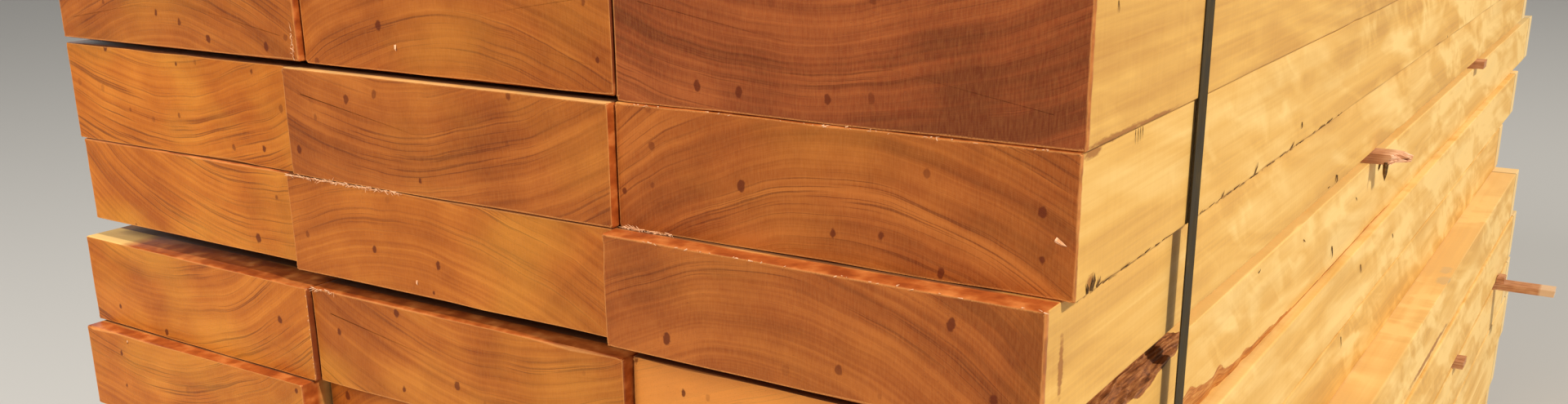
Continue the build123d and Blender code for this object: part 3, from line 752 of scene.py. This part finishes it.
# Slivers on the long side: row, distance along and height of the root, then how far the tip
# lies from it along and up, and the half width. Small ones also stand in the seam below row 2.
SLIVERS = ((2, -0.704, 0.7396, 0.004, 0.0050, 0.0007), (2, -0.628, 0.7396, 0.006, 0.0085, 0.0009),
           (2, -0.531, 0.7396, 0.009, 0.0050, 0.0008), (2, -0.929, 0.7400, 0.003, 0.0090, 0.0016),
           (2, -0.934, 0.7400, -0.002, 0.0060, 0.0012), (2, -0.921, 0.7400, 0.004, 0.0050, 0.0009),
           (2, -0.8760, 0.8125, -0.001, -0.0080, 0.0003), (2, -0.8720, 0.8125, -0.001, -0.0085, 0.0003),
           (2, -0.8685, 0.8125, -0.001, -0.0075, 0.0003), (2, -0.8650, 0.8125, -0.001, -0.0065, 0.0003),
           (1, -0.919, 0.8820, 0.000, -0.0060, 0.0005), (2, -0.502, 0.7550, -0.002, -0.0050, 0.0009),
           (3, -0.347, 0.6720, 0.006, 0.0010, 0.0005), (3, -0.318, 0.6780, -0.001, -0.0075, 0.0017),
           (4, -0.303, 0.6100, 0.003, -0.0125, 0.0010), (5, -0.200, 0.5680, 0.004, -0.0100, 0.0010),
           (6, -0.262, 0.5140, 0.003, -0.0130, 0.0006), (5, -0.036, 0.5600, 0.003, -0.0060, 0.0009),
           (4, -0.060, 0.6520, 0.007, -0.0030, 0.0006), (4, -0.215, 0.6360, 0.003, -0.0040, 0.0006),
           (4, -0.420, 0.6440, 0.004, -0.0030, 0.0007), (4, -0.560, 0.6520, 0.003, 0.0030, 0.0006))
SEAM_SLIVERS = 46
SEAM_ROW, SEAM_HEIGHT, SEAM_STRETCH = 2, 0.7394, (-0.935, -0.36)
STAND_OUT = 0.0007  # of a tip
spots = np.array(SLIVERS)
along = rng.uniform(*SEAM_STRETCH, SEAM_SLIVERS)
along = np.concatenate([spots[:, 1], along])
height = np.concatenate([spots[:, 2], np.full(SEAM_SLIVERS, SEAM_HEIGHT)])
rows = np.concatenate([spots[:, 0], np.full(SEAM_SLIVERS, SEAM_ROW)]).astype(int)
face = np.array([solid_points(f"plank_{row:02d}_right")[:, 0].max() for row in rows]) - 0.0002
root = np.stack([face, along, height], 1)
lift = np.stack([rng.uniform(0.003, 0.013, SEAM_SLIVERS), rng.uniform(0.0002, 0.0022, SEAM_SLIVERS)], 1)
lift = np.concatenate([spots[:, 3:5], lift])
tip = root + np.stack([np.full(len(lift), STAND_OUT), lift[:, 0], lift[:, 1]], 1)
width = np.concatenate([spots[:, 5], rng.uniform(0.0003, 0.0007, SEAM_SLIVERS)])
dark_look = WoodLook("dark_sliver")
place = dark_look.wire("TexCoord").outputs["Object"]
tone = dark_look.grain(dark_look.scaled(place, 250, 120, 250))
dark_colour = dark_look.ramp(tone, ((0.35, (0.055, 0.026, 0.009)), (0.65, (0.20, 0.105, 0.035))))
dark_sliver = dark_look.finish(Base_Color=dark_colour, Roughness=0.85, Specular_IOR_Level=0.15)
slivers("bark_slivers", root, tip, width, (1, 0, 0), dark_sliver)


# Laths: thin reddish battens laid across the stack to hold gaps open, with short slips under
# thinner planks and an offcut on the longest. Their ends stand out of the long side, and the
# first of the upper bundle is split off raggedly, with a dark splinter hanging from it: partly a real
# splinter, partly a painted shadow of the lath.
LATH_WEAR = np.array([0, 0.0003, 0.0008, 0.0015])
LATH_STEPS, TORN_STEPS = (0.006, 0.003), (0.0012, 0.0014)  # between the points round a batten
LATH_SECTIONS = np.array([0, 0.0006, 0.0015, 0.003, 0.006, 0.010, 0.015, 0.021, 0.028])
SPLIT_LATH = "lath_03_1"
TORN_SHORT, TORN_REACH = 0.015, 0.040  # how much shorter its torn half is, how far the tear shows
KEEP_IN = 0.00012  # between a lath's surface and its solid's top and underside


def saw_lath(name, material, seed):
    """A batten over its solid, from its outer end inwards, with a rough or a torn end.

    The rings are drawn in by the tear at their place round the outline, so that the near half
    of a split lath ends short and the end breaks up into thin teeth. mark says how near to the
    torn end each point is.
    """
    spots = solid_points(name)
    low, high = spots.min(0), spots.max(0)
    size = high - low
    torn = name == SPLIT_LATH
    y, z = outline(size[1], size[2], LATH_WEAR, TORN_STEPS if torn else LATH_STEPS)
    run = np.unique(np.concatenate([LATH_SECTIONS, np.linspace(0.04, size[0] - 0.002, 26), [size[0]]]))
    inward, y = np.meshgrid(run, y, indexing="ij")
    z = np.broadcast_to(z, y.shape).copy()
    tear = 0.0005 + 0.0004 * relief(y / 0.0013, z / 0.0017, seed)
    if torn:
        half = np.clip((y / size[1] - 0.38) / 0.16, 0, 1)
        tear = tear + TORN_SHORT * (1 - half) + 0.005 * np.abs(relief(y / 0.0019, z / 0.004, seed + 1))
        thin = 1 - 0.65 * np.clip(1 - inward / 0.012, 0, 1) * half
        z = size[2] * 0.35 + (z - size[2] * 0.35) * thin
    inward = tear + inward * (size[0] - tear) / size[0]
    y = size[1] / 2 + (y - size[1] / 2) * (0.985 + 0.012 * wander(run, 0.03, seed + 2)[:, None])
    z = z + 0.00018 * relief(inward / 0.012, y / 0.0015, seed + 3)
    z = np.clip(z, KEEP_IN, size[2] - KEEP_IN)
    rings = np.stack([high[0] - inward, low[1] + y, low[2] + z], -1)
    torn_share = torn * np.clip(1 - inward / TORN_REACH, 0, 1)
    mark = torn_share[..., None] * np.array([1.0, 0.0, 0.0])
    lath = skin("batten" + name[4:], rings, material, {"mark": mark})
    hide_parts(name)
    return lath


LATH_TONES = ((0.30, 0.115, 0.045), (0.55, 0.26, 0.125), (0.76, 0.46, 0.26))
TEAR_TONES = ((0.50, 0.20, 0.09), (0.82, 0.46, 0.27), (0.93, 0.70, 0.48))
# the longest lath's pale tip, and where it starts
TIP_PALE, TIP_X = (0.80, 0.60, 0.40), (0.478, 0.482)
w = WoodLook("lath_wood")
place = w.wire("TexCoord").outputs["Object"]
torn_here = w.parts(w.fact("mark"))[0]
threads = w.grain(w.scaled(place, 16, 480, 480), 3.0, 0.6)
weathered = w.grain(w.scaled(place, 60, 60, 60))
tone = w.total(w.product(threads, 0.65), w.product(weathered, 0.35))
colour = w.ramp(tone, ((0.32, LATH_TONES[0]), (0.5, LATH_TONES[1]), (0.7, LATH_TONES[2])))
fresh_tear = w.ramp(threads, ((0.3, TEAR_TONES[0]), (0.5, TEAR_TONES[1]), (0.7, TEAR_TONES[2])))
colour = w.mix(w.between(torn_here, 0.35, 0.6), colour, fresh_tear)
tip_here = w.between(w.parts(place)[0], *TIP_X)
colour = w.mix(w.product(tip_here, 0.75), colour, TIP_PALE)
uneven = w.wire("Bump", {"Strength": 0.5, "Distance": 0.0006, "Height": threads}).outputs[0]
lath_wood = w.finish(Base_Color=colour, Roughness=0.75, Specular_IOR_Level=0.2, Normal=uneven)
for count, name in enumerate(sorted(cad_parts)):
    if name == "lath_offcut" or name.startswith("slips_"):
        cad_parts[name].data.materials.clear()
        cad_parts[name].data.materials.append(lath_wood)
    elif name.startswith("lath_"):
        saw_lath(name, lath_wood, 700 + 13 * count)
# the dark splinter, a long and a short one side by side: partly a real splinter, partly a painted shadow of
# the lath
low, high = solid_points(SPLIT_LATH).min(0), solid_points(SPLIT_LATH).max(0)
hang = np.array([[high[0] - 0.021, low[1] + 0.0012, low[2] + 0.0025],
                 [high[0] - 0.026, low[1] + 0.0012, low[2] + 0.002]])
hanging = hang + [(0.0005, 0, -0.0185), (-0.001, 0, -0.009)]
slivers("lath_splinter", hang, hanging, (0.0028, 0.0012), (0, -1, 0), dark_sliver)


# Straps and seals: flat steel strapping painted dark olive, drawn tight round each bundle and
# held by folded sleeves with crimped edges.
STRAP_TONES = ((0.024, 0.016, 0.006), (0.052, 0.034, 0.012), (0.12, 0.080, 0.032))  # dirt, paint, wear
w = WoodLook("strap_steel")
place = w.wire("TexCoord").outputs["Object"]
scuffs = w.grain(w.scaled(place, 90, 90, 90), 3.0, 0.6)
scratches = w.grain(w.scaled(place, 30, 900, 30))
tone = w.total(w.product(scuffs, 0.6), w.product(scratches, 0.4))
colour = w.ramp(tone, ((0.35, STRAP_TONES[0]), (0.55, STRAP_TONES[1]), (0.75, STRAP_TONES[2])))
scuffed = w.between(scuffs, 0.3, 0.7, 0.5, 0.7)
strap_steel = w.finish(Base_Color=colour, Roughness=scuffed, Specular_IOR_Level=0.12)
for name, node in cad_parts.items():
    if name.startswith(("strap_", "seal_")):
        node.data.materials.clear()
        node.data.materials.append(strap_steel)
